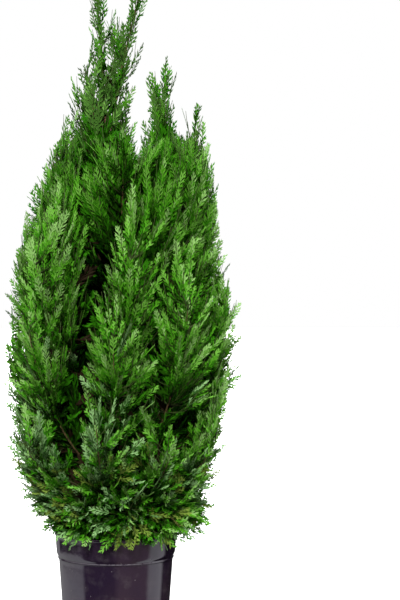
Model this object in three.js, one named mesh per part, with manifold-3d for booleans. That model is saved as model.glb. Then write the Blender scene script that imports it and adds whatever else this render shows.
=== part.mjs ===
// A lawson cypress in a round nursery pot: pot, compost, trunk, leaders and plumes of foliage.
// Millimetres, +Z up. The origin is the middle of the pot's underside, and the front looks along -Y.
import * as THREE from "three";
import { mergeVertices } from "three/addons/utils/BufferGeometryUtils.js";
import Module from "manifold-3d";

const wasm = await Module();
wasm.setup();

const UP = new THREE.Vector3(0, 0, 1);
const { degToRad, lerp } = THREE.MathUtils;

// Clearances
const SEAT_GAP = 0.3; // between pieces that sit on each other
const LIMB_CLEARANCE = 3; // between a spray and a limb that it passes
const SPACE_MARGIN = 5; // how much nearer a point is to its own plume's stem than to any other

// Pot: a five litre container with a wide band under its rim
const POT_HEIGHT = 200;
const RIM_RADIUS = 112;
const LIP_HEIGHT = 5;
const LIP_PROUD = 1.5;
const BAND_HEIGHT = 44;
const BAND_FOOT_RADIUS = 107.5;
const BAND_TURN = 4; // the band's foot turns in over this height
const BODY_TOP_RADIUS = 104.5;
const RIDGE_PROUD = 1;
const RIDGE_HEIGHT = 2.5;
const BODY_FOOT_RADIUS = 93;
const FOOT_CHAMFER = 2;
const POT_WALL = 2;
const POT_SIDES = 32;
const DRAIN_COUNT = 6;
const DRAIN_RADIUS = 7;
const DRAIN_CIRCLE = 68;
const DRAIN_SIDES = 8;

// Compost: fills the pot to a little under the rim, slightly mounded
const COMPOST_BELOW_RIM = 17;
const COMPOST_MOUND = 5;

// Trunk
const GROUND = POT_HEIGHT - COMPOST_BELOW_RIM + COMPOST_MOUND;
const CROWN_HEIGHT = 1012; // from the compost to the topmost tip
const TRUNK_RADIUS = 11;
const FLARE_RADIUS = 16;
const FLARE_SHARE = 0.03; // of the trunk's line
const TRUNK_TIP_RADIUS = 2;
const TRUNK_END = 0.8; // where the trunk's wood ends in its top plume
const TRUNK_LEAN = { azimuth: degToRad(186), reach: 36, bow: { out: 0, up: 0.5 } };
const TRUNK_SIDES = 8;
const TRUNK_STEPS = 14;

// Leaders: strong upright limbs that share the crown's top with the trunk
const LEADER_RADIUS = 6;
const LEADER_TIP_RADIUS = 1.8;
const LEADER_SIDES = 6;
const LEADER_STEPS = 8;
const FORKED = { out: 0.3, up: 0.5 };
const TALL = { out: 0.77, up: 0.38 };
const LEADERS = [
  { name: "fork", at: 0.68, turn: -8, reach: 66, rise: 318, bow: FORKED, end: 0.5, belly: 44, sides: [] },
  { name: "second", at: 0.07, turn: 8, reach: 92, rise: 800, bow: TALL, end: 0.6, belly: 58, sides: [-62, 78] },
  { name: "third", at: 0.05, turn: -22, reach: 160, rise: 728, bow: TALL, end: 0.6, belly: 60, sides: [-72, 24] },
  { name: "back", at: 0.08, turn: 118, reach: 104, rise: 720, bow: TALL, end: 0.6, belly: 66, sides: [-75, 62] },
];
const SIDE_PLUME = { at: 0.36, step: 0.1, reach: 70, rise: 290, belly: 66 };

// Rings of plumes round the trunk, from the skirt over the rim to the spire
const ARCHED = { out: 0.55, up: 4.2 };
const SWEPT = { out: 0.82, up: 0.28 };
const RINGS = [
  { name: "skirt", count: 9, at: 0.012, reach: 166, rise: 22, belly: 70, turn: 0, bow: ARCHED },
  { name: "low", count: 9, at: 0.04, reach: 200, rise: 185, belly: 84, turn: 20, bow: SWEPT },
  { name: "middle", count: 8, at: 0.09, reach: 214, rise: 335, belly: 90, turn: 0, bow: SWEPT },
  { name: "shoulder", count: 7, at: 0.18, reach: 194, rise: 420, belly: 88, turn: 72, bow: SWEPT },
  { name: "upper", count: 4, at: 0.38, reach: 120, rise: 370, belly: 80, turn: 105, bow: SWEPT },
  { name: "top", count: 4, at: 0.56, reach: 58, rise: 310, belly: 60, turn: 60, bow: SWEPT },
];
const LEADER_ROOM = 0.75; // a ring leaves out a plume whose tip is nearer to a leader, in shares of its belly
const AZIMUTH_JITTER = degToRad(5);
const SIZE_JITTER = 0.06;

// The crown's outline about its own axis: radius at heights above the ground
const CROWN_AXIS_X = 8;
const CROWN_OUTLINE = [
  [0, 165],
  [170, 206],
  [330, 220],
  [470, 210],
  [620, 178],
  [760, 146],
  [910, 80],
  [1040, 58],
];

// Plumes: a stem, a smaller core, and flat toothed sprays whose narrow roots are their twigs
const STEM_RADIUS = 2.8;
const STEM_TIP_RADIUS = 0.9;
const STEM_SIDES = 4;
const STEM_STEPS = 3;
const STEM_END = 0.86; // the last spray carries the plume on to its tip
const LAST_SPRAY_START = 0.74;
const CORE_START = 0.14;
const CORE_END = 0.94;
const CORE_SHARE = 0.6; // of the plume's belly, at the core's tufts
const CORE_FURROW = 0.42; // the furrows between tufts are drawn in to this share
const CORE_SIDES = 8;
const CORE_RINGS = 5;
const TUFT_FORWARD = 0.11; // how far a tuft points ahead, in shares of its plume
const SPRAYS_PER_PLUME = 5;
const FIRST_SPRAY = 0.25;
const FINAL_SPRAY = 0.88;
const SPRAY_LEAN = degToRad(40); // between a spray and its stem
const SPRAY_FAN = degToRad(130); // sprays stand to either side of the plume's outer face, as far as this
const SPRAY_ROLL = 1.2; // most turn of a spray out of the plume's surface
const SPRAY_JITTER = 0.12;
const SPRAY_THICKNESS = 0.026; // of its length, at the hub
const SPRAY_HUB = 0.5;
const GOLDEN_SHARE = 0.618034;
const FITTED_SHARES = [1, 0.85, 0.7, 0.55, 0.4, 0.25]; // sizes tried where the full one doesn't fit
// Half of a spray's outline in shares of its length: the root, two teeth with a notch between and the tip
const SPRAY_OUTLINE = [[0, 0], [0.48, 0.22], [0.56, 0.07], [0.8, 0.15], [1, 0]];

// Finishes
const POT_PLASTIC = new THREE.MeshStandardMaterial({ color: 0x2b2230, roughness: 0.22, metalness: 0 });
const COMPOST = new THREE.MeshStandardMaterial({ color: 0x2e1d14, roughness: 0.95, metalness: 0 });
const BARK = new THREE.MeshStandardMaterial({ color: 0x5a3526, roughness: 0.85, metalness: 0 });
const GREENS = [0x3f7a20, 0x4c8a2a, 0x356a1e, 0x5a962f].map(
  (color) => new THREE.MeshStandardMaterial({ color, roughness: 0.6, metalness: 0 }),
);

// A steady number from 0 to 1 for each pair of whole numbers: the seed of every jitter
function chance(a, b) {
  const wave = Math.sin(a * 127.1 + b * 311.7 + 74.7) * 43758.5453;
  return wave - Math.floor(wave);
}

const jitter = (a, b, size) => (2 * chance(a, b) - 1) * size;

// A closed geometry as a solid that can be joined and cut
function solidOf(geometry) {
  const bare = geometry.clone();
  bare.deleteAttribute("normal");
  bare.deleteAttribute("uv");
  const merged = mergeVertices(bare, 1e-4);
  return new wasm.Manifold(
    new wasm.Mesh({
      numProp: 3,
      vertProperties: merged.attributes.position.array,
      triVerts: new Uint32Array(merged.index.array),
    }),
  );
}

function geometryOf(solid) {
  const { vertProperties, triVerts } = solid.getMesh();
  return new THREE.BufferGeometry()
    .setAttribute("position", new THREE.BufferAttribute(vertProperties, 3))
    .setIndex(new THREE.BufferAttribute(triVerts, 1));
}

function namedMesh(name, geometry, material) {
  const mesh = new THREE.Mesh(geometry, material);
  mesh.name = name;
  return mesh;
}

// The line of a limb: it bends in one upright plane, out along its azimuth and up from its foot.
// The bow places the bend's control point, in shares of the reach and the rise.
function limbLine({ foot, azimuth, reach, rise, bow }) {
  const out = new THREE.Vector3(Math.cos(azimuth), Math.sin(azimuth), 0);
  const placed = (outShare, upShare) =>
    foot.clone().addScaledVector(out, reach * outShare).addScaledVector(UP, rise * upShare);
  const curve = new THREE.QuadraticBezierCurve3(foot, placed(bow.out, bow.up), placed(1, 1));
  return { curve, side: new THREE.Vector3().crossVectors(UP, out) };
}

// The point, the direction and the two cross directions of a limb's line at t
function frameAt({ curve, side }, t) {
  const along = curve.getTangent(t);
  return { point: curve.getPoint(t), along, side, lift: new THREE.Vector3().crossVectors(side, along) };
}

// The vertices of a geometry moved by a rule that gives each its new place
function reshaped(geometry, rule) {
  const place = geometry.attributes.position;
  for (let i = 0; i < place.count; i++) {
    const moved = rule(place.getX(i), place.getY(i), place.getZ(i), i);
    place.setXYZ(i, moved.x, moved.y, moved.z);
  }
  return geometry;
}

// A round tapering limb along a line, between two shares of it
function taperedLimb(line, radiusAt, sides, steps, start, end) {
  return reshaped(new THREE.CylinderGeometry(1, 1, 1, sides, steps), (x, y, z) => {
    const t = lerp(start, end, y + 0.5);
    const { point, side, lift } = frameAt(line, t);
    return point.addScaledVector(side, x * radiusAt(t)).addScaledVector(lift, z * radiusAt(t));
  });
}

// Pot

// The wall's outline in radius and height: up the outside, over the lip and down the inside
function potOutline() {
  const bandFoot = POT_HEIGHT - BAND_HEIGHT;
  const outside = [
    [0, 0],
    [BODY_FOOT_RADIUS - FOOT_CHAMFER, 0],
    [BODY_FOOT_RADIUS, FOOT_CHAMFER],
    [BODY_TOP_RADIUS, bandFoot - RIDGE_HEIGHT],
    [BODY_TOP_RADIUS + RIDGE_PROUD, bandFoot - RIDGE_HEIGHT / 2],
    [BODY_TOP_RADIUS, bandFoot],
    [BAND_FOOT_RADIUS, bandFoot + BAND_TURN],
    [RIM_RADIUS - LIP_PROUD, POT_HEIGHT - LIP_HEIGHT],
    [RIM_RADIUS, POT_HEIGHT - LIP_HEIGHT],
    [RIM_RADIUS, POT_HEIGHT],
  ];
  const inside = [
    [RIM_RADIUS - LIP_PROUD - POT_WALL, POT_HEIGHT],
    [BAND_FOOT_RADIUS - POT_WALL, bandFoot + BAND_TURN],
    [BODY_TOP_RADIUS - POT_WALL, bandFoot],
    [BODY_FOOT_RADIUS - POT_WALL, POT_WALL],
    [0, POT_WALL],
  ];
  return [...outside, ...inside].map(([radius, height]) => new THREE.Vector2(radius, height));
}

function makePot() {
  let wall = solidOf(new THREE.LatheGeometry(potOutline(), POT_SIDES));
  for (let i = 0; i < DRAIN_COUNT; i++) {
    const turn = ((i + 0.5) / DRAIN_COUNT) * 2 * Math.PI;
    const drain = new THREE.CylinderGeometry(DRAIN_RADIUS, DRAIN_RADIUS, 4 * POT_WALL, DRAIN_SIDES);
    drain.translate(DRAIN_CIRCLE * Math.cos(turn), 0, DRAIN_CIRCLE * Math.sin(turn));
    wall = wall.subtract(solidOf(drain));
  }
  return standing(namedMesh("pot", geometryOf(wall), POT_PLASTIC));
}

// Turns a lathe-made mesh, whose axis is Y, to stand on its base
function standing(mesh) {
  mesh.rotation.x = Math.PI / 2;
  return mesh;
}

function makeCompost() {
  const bandFoot = POT_HEIGHT - BAND_HEIGHT;
  const surface = POT_HEIGHT - COMPOST_BELOW_RIM;
  const inset = POT_WALL + 2 * SEAT_GAP;
  const wallRadius = lerp(BAND_FOOT_RADIUS, RIM_RADIUS - LIP_PROUD, (surface - bandFoot) / BAND_HEIGHT);
  const outline = [
    [0, POT_WALL + SEAT_GAP],
    [BODY_FOOT_RADIUS - inset, POT_WALL + SEAT_GAP],
    [BODY_TOP_RADIUS - inset, bandFoot],
    [BAND_FOOT_RADIUS - inset - SEAT_GAP, bandFoot + BAND_TURN],
    [wallRadius - inset - SEAT_GAP, surface],
    [0.6 * RIM_RADIUS, surface + COMPOST_MOUND],
    [0, surface + COMPOST_MOUND],
  ].map(([radius, height]) => new THREE.Vector2(radius, height));
  return standing(namedMesh("compost", new THREE.LatheGeometry(outline, POT_SIDES), COMPOST));
}

// Trunk and leaders

const trunkLine = limbLine({
  foot: new THREE.Vector3(0, 0, GROUND + SEAT_GAP),
  rise: CROWN_HEIGHT,
  ...TRUNK_LEAN,
});

function trunkRadiusAt(t) {
  const taper = lerp(TRUNK_RADIUS, TRUNK_TIP_RADIUS, t / TRUNK_END);
  const flare = Math.max(0, 1 - t / FLARE_SHARE) ** 2;
  return taper + (FLARE_RADIUS - TRUNK_RADIUS) * flare;
}

const leaderLines = LEADERS.map(({ at, turn, reach, rise, bow }) =>
  limbLine({ foot: trunkLine.curve.getPoint(at), azimuth: degToRad(turn), reach, rise, bow }),
);

// A leader is no thicker at its foot than two thirds of the trunk there
function leaderRadiusAt(leader, t) {
  const footRadius = Math.min(LEADER_RADIUS, 0.66 * trunkRadiusAt(leader.at));
  return lerp(footRadius, LEADER_TIP_RADIUS, t / leader.end);
}

function trunkSolid(grown) {
  const radiusAt = (t) => trunkRadiusAt(t) + grown;
  return solidOf(taperedLimb(trunkLine, radiusAt, TRUNK_SIDES, TRUNK_STEPS, 0, TRUNK_END));
}

function leaderSolid(i, grown) {
  const radiusAt = (t) => leaderRadiusAt(LEADERS[i], t) + grown;
  return solidOf(taperedLimb(leaderLines[i], radiusAt, LEADER_SIDES, LEADER_STEPS, 0, LEADERS[i].end));
}

// The one body of a solid that holds most: loose scraps and sealed hollows are left behind
const mainBody = (solid) => solid.decompose().reduce((a, b) => (b.volume() > a.volume() ? b : a));

// The limbs grown by the seat gap, which cut what meets them
const trunkCutter = trunkSolid(SEAT_GAP);
const leaderCutters = LEADERS.map((leader, i) => leaderSolid(i, SEAT_GAP));

const cutBy = (cutters, solid) => cutters.reduce((rest, cutter) => rest.subtract(cutter), solid);

const makeTrunk = () => namedMesh("trunk", geometryOf(trunkSolid(0)), BARK);

function makeLeader(leader, i) {
  const cut = cutBy([trunkCutter, ...leaderCutters.slice(0, i)], leaderSolid(i, 0));
  return namedMesh("leader_" + leader.name, geometryOf(mainBody(cut)), BARK);
}

// Plumes

// Points along each line, for measuring how near a place is to it
const LINE_POINTS = 24;
const pointsOf = (line, start, end) =>
  Array.from({ length: LINE_POINTS + 1 }, (_, i) => line.curve.getPoint(lerp(start, end, i / LINE_POINTS)));
const leaderPoints = leaderLines.map((line) => pointsOf(line, 0, 1));

const stretch = new THREE.Line3();
const nearest = new THREE.Vector3();
function distanceTo(points, place) {
  let least = Infinity;
  for (let i = 1; i < points.length; i++) {
    stretch.set(points[i - 1], points[i]).closestPointToPoint(place, true, nearest);
    least = Math.min(least, nearest.distanceTo(place));
  }
  return least;
}

// Each plume is a line, the share of it where its foliage starts, and its belly
function ringPlume(ring, r, i) {
  const size = 1 + jitter(r, 3 * i + 1, SIZE_JITTER);
  const line = limbLine({
    foot: trunkLine.curve.getPoint(ring.at),
    azimuth: degToRad(ring.turn + (360 * i) / ring.count) + jitter(r, 3 * i, AZIMUTH_JITTER),
    reach: ring.reach * size,
    rise: ring.rise * (1 + jitter(r, 3 * i + 2, SIZE_JITTER)),
    bow: ring.bow,
  });
  return { line, from: 0, belly: ring.belly * size };
}

function hasRoom({ line, belly }) {
  const tip = line.curve.getPoint(1);
  return leaderPoints.every((points) => distanceTo(points, tip) > LEADER_ROOM * belly);
}

function ringPlumes(ring, r) {
  const places = Array.from({ length: ring.count }, (_, i) => ringPlume(ring, r, i)).filter(hasRoom);
  return places.map((plume, i) => ({ ...plume, name: `foliage_${ring.name}_${i + 1}` }));
}

// The plumes that carry the trunk and the leaders on to their tips
function tipPlumes() {
  const tip = (name, line, end, belly) => ({ name: `foliage_${name}_tip`, line, from: end, belly });
  return [
    tip("trunk", trunkLine, TRUNK_END, LEADERS[0].belly),
    ...LEADERS.map((leader, i) => tip(leader.name, leaderLines[i], leader.end, leader.belly)),
  ];
}

function leaderSidePlumes() {
  return LEADERS.flatMap((leader, i) =>
    leader.sides.map((turn, k) => ({
      name: `foliage_${leader.name}_side_${k + 1}`,
      line: limbLine({
        foot: leaderLines[i].curve.getPoint(SIDE_PLUME.at + SIDE_PLUME.step * k),
        azimuth: degToRad(leader.turn + turn),
        reach: SIDE_PLUME.reach,
        rise: SIDE_PLUME.rise,
        bow: SWEPT,
      }),
      from: 0,
      belly: SIDE_PLUME.belly,
    })),
  );
}

const plumes = [...RINGS.flatMap(ringPlumes), ...tipPlumes(), ...leaderSidePlumes()];
plumes.forEach((plume) => {
  plume.points = pointsOf(plume.line, plume.from, 1);
});
const limbs = [
  { points: pointsOf(trunkLine, 0, TRUNK_END), radius: TRUNK_RADIUS },
  ...LEADERS.map((leader, i) => ({ points: pointsOf(leaderLines[i], 0, leader.end), radius: LEADER_RADIUS })),
];

// True where a place belongs to a plume: nearer to its stem than to any other, in the crown and off the pot
function inSpace(plume, place) {
  if (!inCrown(place) || !clearOfPot(place)) return false;
  const own = distanceTo(plume.points, place) + SPACE_MARGIN;
  return plumes.every((other) => other === plume || distanceTo(other.points, place) > own);
}

function inCrown({ x, y, z }) {
  const height = z - GROUND;
  const above = CROWN_OUTLINE.findIndex(([level]) => level > height);
  if (above < 1) return above === 0;
  const [[low, lowRadius], [high, highRadius]] = CROWN_OUTLINE.slice(above - 1, above + 1);
  return Math.hypot(x - CROWN_AXIS_X, y) < lerp(lowRadius, highRadius, (height - low) / (high - low));
}

function clearOfPot({ x, y, z }) {
  return z > POT_HEIGHT + LIMB_CLEARANCE || (Math.hypot(x, y) > RIM_RADIUS + LIMB_CLEARANCE && z > 0);
}

const clearOfLimbs = (place) =>
  limbs.every(({ points, radius }) => distanceTo(points, place) > radius + LIMB_CLEARANCE);

// Share of a plume's line, counted from where its foliage starts
const along = (plume, share) => lerp(plume.from, 1, share);

// How far a plume's sprays stand out along it: full in the lower half, slimmer to the tip
const swell = (share) => Math.sin(Math.PI * Math.min(1, 0.28 + 0.66 * share)) ** 0.8;

const stemRadiusAt = (plume) => (t) =>
  lerp(STEM_RADIUS, STEM_TIP_RADIUS, (t - plume.from) / (1 - plume.from));

function makeStem(plume) {
  const gap = plume.from ? SEAT_GAP / plume.line.curve.getLength() : 0;
  const end = along(plume, STEM_END);
  return solidOf(taperedLimb(plume.line, stemRadiusAt(plume), STEM_SIDES, STEM_STEPS, plume.from + gap, end));
}

// The dense middle of a plume: tufts that point ahead, with furrows between them.
// It is drawn in wherever it would leave the plume's own space.
function makeCore(plume) {
  const shape = new THREE.SphereGeometry(1, CORE_SIDES, CORE_RINGS + 1);
  return solidOf(
    reshaped(shape, (x, y, z, i) => {
      const row = Math.floor(i / (CORE_SIDES + 1));
      const column = i % (CORE_SIDES + 1);
      const inner = row % (CORE_RINGS + 1) > 0;
      const tuft = inner && (row + column) % 2 === 1;
      const share = lerp(CORE_END, CORE_START, row / (CORE_RINGS + 1)) + (tuft ? TUFT_FORWARD : 0);
      const { point, side, lift } = frameAt(plume.line, along(plume, share));
      const radius = inner ? CORE_SHARE * plume.belly * swell(share) * (tuft ? 1 : CORE_FURROW) : 0;
      const outward = side.clone().multiplyScalar(x).addScaledVector(lift, z).normalize();
      const places = FITTED_SHARES.map((part) => point.clone().addScaledVector(outward, radius * part));
      return places.find((place) => inSpace(plume, place)) ?? places.at(-1);
    }),
  );
}

// A flat toothed blade from its root along one direction, spread across another
function sprayGeometry(root, direction, across, length) {
  const thick = new THREE.Vector3().crossVectors(across, direction);
  const mirrored = SPRAY_OUTLINE.slice(1, -1).reverse().map(([u, v]) => [u, -v]);
  const outline = [...SPRAY_OUTLINE, ...mirrored];
  const columns = outline.length + 1;
  return reshaped(new THREE.SphereGeometry(1, outline.length, 2), (x, y, z, i) => {
    const rim = i >= columns && i < 2 * columns;
    const [u, v] = rim ? outline[(i % columns) % outline.length] : [SPRAY_HUB, 0];
    return root
      .clone()
      .addScaledVector(direction, u * length)
      .addScaledVector(across, v * length)
      .addScaledVector(thick, rim ? 0 : (y * SPRAY_THICKNESS * length) / 2);
  });
}

// The spray number k of a plume, or nothing where it would leave its space or touch a limb
function makeSpray(plume, index, k) {
  const height = lerp(FIRST_SPRAY, FINAL_SPRAY, (k + 0.5) / SPRAYS_PER_PLUME);
  const { point, along: ahead, side, lift } = frameAt(plume.line, along(plume, height));
  const radial = turned(lift, side, lerp(-SPRAY_FAN, SPRAY_FAN, (k * GOLDEN_SHARE + chance(index, 90)) % 1));
  const direction = turned(ahead, radial, SPRAY_LEAN);
  const flat = new THREE.Vector3().crossVectors(ahead, radial);
  const upright = new THREE.Vector3().crossVectors(flat, direction);
  const across = turned(flat, upright, jitter(index, 100 + k, SPRAY_ROLL));
  const size = 1 + jitter(index, 200 + k, SPRAY_JITTER);
  const length = (size * plume.belly * swell(height)) / Math.sin(SPRAY_LEAN);
  const shares = FITTED_SHARES.slice(0, 4);
  const sprays = shares.map((share) => sprayGeometry(point, direction, across, share * length));
  return sprays.find((spray) => fits(plume, spray)) ?? [];
}

// A direction turned by an angle towards another that is square to it
const turned = (direction, towards, angle) =>
  direction.clone().multiplyScalar(Math.cos(angle)).addScaledVector(towards, Math.sin(angle));

// A spray fits where its corners, and places between them, are in its plume's space and clear of every limb
function fits(plume, spray) {
  const place = spray.attributes.position;
  const corner = (i) => new THREE.Vector3().fromBufferAttribute(place, i % place.count);
  return Array.from({ length: place.count }, (_, i) => i).every((i) => {
    const tested = [corner(i), corner(i).lerp(corner(0), 0.5), corner(i).lerp(corner(i + 1), 0.5)];
    return tested.every((spot) => clearOfLimbs(spot) && inSpace(plume, spot));
  });
}

// The spray that ends a plume, along the last of its line, turned to where it fits
function makeLastSpray(plume, index) {
  const { point, side } = frameAt(plume.line, along(plume, LAST_SPRAY_START));
  const whole = plume.line.curve.getPoint(1).sub(point);
  const direction = whole.clone().normalize();
  const lift = new THREE.Vector3().crossVectors(side, direction);
  const sprays = [0, 0.25, 0.5, 0.75].map((share) => {
    const across = turned(side, lift, Math.PI * (chance(index, 91) + share));
    return sprayGeometry(point, direction, across, whole.length());
  });
  return sprays.find((spray) => fits(plume, spray)) ?? sprays[0];
}

function makePlume(plume, index) {
  const sprays = Array.from({ length: SPRAYS_PER_PLUME }, (_, k) => makeSpray(plume, index, k)).flat();
  const pieces = [...sprays, makeLastSpray(plume, index)].map(solidOf);
  const whole = pieces.reduce((sum, piece) => sum.add(piece), makeStem(plume).add(makeCore(plume)));
  const clear = mainBody(cutBy([trunkCutter, ...leaderCutters], whole));
  return namedMesh(plume.name, geometryOf(clear), GREENS[index % GREENS.length]);
}

const cypress = new THREE.Group();
cypress.add(makePot(), makeCompost(), makeTrunk(), ...LEADERS.map(makeLeader), ...plumes.map(makePlume));

export default cypress;
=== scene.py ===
import itertools
import math

import bmesh
import bpy
import numpy as np
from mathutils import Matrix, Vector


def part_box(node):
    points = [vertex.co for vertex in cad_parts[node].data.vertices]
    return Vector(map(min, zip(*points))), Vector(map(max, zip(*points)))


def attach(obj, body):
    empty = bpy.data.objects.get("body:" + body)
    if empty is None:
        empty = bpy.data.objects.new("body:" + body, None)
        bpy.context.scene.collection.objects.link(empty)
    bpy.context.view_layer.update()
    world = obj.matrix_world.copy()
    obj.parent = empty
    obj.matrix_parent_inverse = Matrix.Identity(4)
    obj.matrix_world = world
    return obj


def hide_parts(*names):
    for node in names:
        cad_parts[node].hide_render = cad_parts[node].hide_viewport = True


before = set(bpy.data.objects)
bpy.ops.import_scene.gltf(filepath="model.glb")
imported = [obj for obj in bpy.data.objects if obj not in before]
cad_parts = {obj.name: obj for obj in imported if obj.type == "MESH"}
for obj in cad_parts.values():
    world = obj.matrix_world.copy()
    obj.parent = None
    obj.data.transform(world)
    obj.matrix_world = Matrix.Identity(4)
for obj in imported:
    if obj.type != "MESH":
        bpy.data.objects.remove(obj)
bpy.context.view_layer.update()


# Pot: a round five litre nursery container, moulded in one piece from glossy black-purple plastic.
# A wide band under the rim stiffens it, a bead runs under the band, and its base has drain holes.
pot_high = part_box("pot")[1]
RIM_RADIUS = pot_high.x
POT_HEIGHT = pot_high.z
POT_WALL = 0.002
LIP_HEIGHT = 0.005
LIP_PROUD = 0.0015
LIP_ROUNDS = (0.001, 0.0012, 0.0016, 0.0014)
BAND_FOOT = POT_HEIGHT - 0.044
BAND_FOOT_RADIUS = 0.1082
BAND_TURN = 0.006
BAND_ROUND = 0.005
BODY_TOP_RADIUS = 0.1040
BODY_FOOT_RADIUS = 0.093
FOOT_CHAMFER = 0.002
FOOT_ROUND = 0.0015
INSIDE_ROUND = 0.003
BEAD_PROUD = 0.0020
BEAD_HEIGHT = 0.0034
# The bead's corners: shares of how proud it is and of its height, and the rounding
BEAD_CORNERS = [(0, -1, 0.0006), (1, -0.8, 0.0009), (1, -0.4, 0.0012), (0.4, 0.2, 0.0006)]
POT_SEGMENTS = 160
POT_CREASE = math.radians(50)
ROUND_STEPS = 5
STRAIGHT_STEP = 0.008
WELD = 1e-6
DRAIN_COUNT = 6
DRAIN_RADIUS = 0.007
DRAIN_CIRCLE = 0.068
DRAIN_SIDES = 32
POT_PURPLE = (0.0065, 0.0036, 0.0090)
POT_BROWN = (0.0105, 0.0062, 0.0095)
DUST = (0.30, 0.28, 0.27)
DUST_COVER = 0.16
HAZE_COVER = 0.05
POT_ROUGH = {"clean": 0.06, "smudged": 0.10, "dusty": 0.4}


class Wire:
    """An output of a shader node. A sum on it adds Math nodes to its tree."""

    def __init__(self, tree, socket=None):
        self.tree = tree
        self.socket = socket

    def node(self, kind, settings, sockets, output=0):
        """Adds a node of a kind, makes its settings, then fills its sockets with values or wires."""
        node = self.tree.nodes.new("ShaderNode" + kind)
        for name, value in settings.items():
            if name == "stops":
                for stop, (place, colour) in zip(node.color_ramp.elements, value[:2]):
                    stop.position, stop.color = place, colour
                for place, colour in value[2:]:
                    node.color_ramp.elements.new(place).color = colour
            else:
                setattr(node, name, value)
        for name, value in sockets.items():
            if isinstance(value, Wire):
                self.tree.links.new(value.socket, node.inputs[name])
            else:
                node.inputs[name].default_value = value
        return Wire(self.tree, node.outputs[output] if node.outputs else None)

    def maths(self, operation, first, second):
        return self.node("Math", {"operation": operation}, {0: first, 1: second})

    def __add__(self, other):
        return self.maths("ADD", self, other)

    __radd__ = __add__

    def __sub__(self, other):
        return self.maths("SUBTRACT", self, other)

    def __rsub__(self, other):
        return self.maths("SUBTRACT", other, self)

    def __mul__(self, other):
        return self.maths("MULTIPLY", self, other)

    __rmul__ = __mul__

    def __gt__(self, other):
        return self.maths("GREATER_THAN", self, other)

    def __lt__(self, other):
        return self.maths("LESS_THAN", self, other)

    def between(self, low, high):
        """This value spread from 0 at low to 1 at high, and held to that range."""
        return self.node("MapRange", {}, {"Value": self, "From Min": low, "From Max": high})

    def mixed(self, first, second):
        """A colour between two, by this value."""
        colours = {6: first, 7: second}
        colours = {i: c if isinstance(c, Wire) else (*c, 1.0) for i, c in colours.items()}
        return self.node("Mix", {"data_type": "RGBA"}, {0: self, **colours}, output=2)

    def noise(self, scale, detail, roughness=0.5):
        """Noise over this place."""
        sockets = {"Vector": self, "Scale": scale, "Detail": detail, "Roughness": roughness}
        return self.node("TexNoise", {}, sockets)

    def bump(self, strength, distance):
        """A surface's direction, roughened by this height."""
        return self.node("Bump", {}, {"Strength": strength, "Distance": distance, "Height": self})


def new_finish(name, **constants):
    """A material, its shader node with the constant values set, and the start of its wires."""
    material = bpy.data.materials.new(name)
    material.use_nodes = True
    shader = material.node_tree.nodes["Principled BSDF"]
    for socket, value in constants.items():
        socket = socket.replace("_", " ")
        shader.inputs[socket].default_value = (*value, 1.0) if isinstance(value, tuple) else value
    return material, shader, Wire(material.node_tree)


def feed(shader, **wires):
    for socket, wire in wires.items():
        wire.tree.links.new(wire.socket, shader.inputs[socket.replace("_", " ")])


def rounded(corners):
    """An outline of (radius, height, rounding) corners with each corner turned into a short curve.
    Long straight stretches get points of their own, so that they shade as straight."""
    spots = np.array([corner[:2] for corner in corners])
    outline = [spots[0]]
    for before, spot, after, corner in zip(spots, spots[1:], spots[2:], corners[1:]):
        start = spot + (before - spot) * min(0.5, corner[2] / np.linalg.norm(before - spot))
        end = spot + (after - spot) * min(0.5, corner[2] / np.linalg.norm(after - spot))
        for t in np.linspace(0, 1, ROUND_STEPS + 1):
            outline.append((1 - t) ** 2 * start + 2 * t * (1 - t) * spot + t * t * end)
    outline = np.array([*outline, spots[-1]])
    counts = [math.ceil(np.linalg.norm(step) / STRAIGHT_STEP) for step in np.diff(outline, axis=0)]
    parts = [np.linspace(a, b, count, endpoint=False) for a, b, count in zip(outline, outline[1:], counts)]
    return np.concatenate([*parts, outline[-1:]])


def new_piece(name, places, faces, finish, smooth=False):
    """A mesh piece from arrays: vertex places, and faces of equal vertex counts."""
    mesh = bpy.data.meshes.new(name)
    faces = np.asarray(faces, np.int32)
    mesh.vertices.add(len(places))
    mesh.vertices.foreach_set("co", np.asarray(places, np.float32).ravel())
    mesh.loops.add(faces.size)
    mesh.loops.foreach_set("vertex_index", faces.ravel())
    mesh.polygons.add(len(faces))
    mesh.polygons.foreach_set("loop_start", np.arange(0, faces.size, faces.shape[1], dtype=np.int32))
    mesh.polygons.foreach_set("use_smooth", np.full(len(faces), smooth))
    mesh.update(calc_edges=True)
    mesh.materials.append(finish)
    piece = bpy.data.objects.new(name, mesh)
    bpy.context.scene.collection.objects.link(piece)
    return piece


def around(count):
    """The turns of places spread evenly round a circle."""
    return np.linspace(0, 2 * math.pi, count, endpoint=False)


def ring_quads(rings, sides):
    """The faces between rings of vertices that follow each other, each ring with so many sides."""
    row, column = np.meshgrid(np.arange(rings - 1), np.arange(sides), indexing="ij")
    near, far = row * sides, (row + 1) * sides
    beside = (column + 1) % sides
    return np.stack([near + column, near + beside, far + beside, far + column], axis=-1).reshape(-1, 4)


def lathed(name, outline, segments, finish):
    """An outline of radii and heights turned about the upright axis, its ends closed on the axis."""
    turns = around(segments)
    radius, height = outline[:, 0, None], outline[:, 1, None]
    places = np.stack([radius * np.cos(turns), radius * np.sin(turns), height + 0 * turns], axis=-1)
    piece = new_piece(name, places.reshape(-1, 3), ring_quads(len(outline), segments), finish, smooth=True)
    closing = bmesh.new()
    closing.from_mesh(piece.data)
    bmesh.ops.remove_doubles(closing, verts=closing.verts, dist=WELD)
    closing.to_mesh(piece.data)
    closing.free()
    return piece


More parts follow.
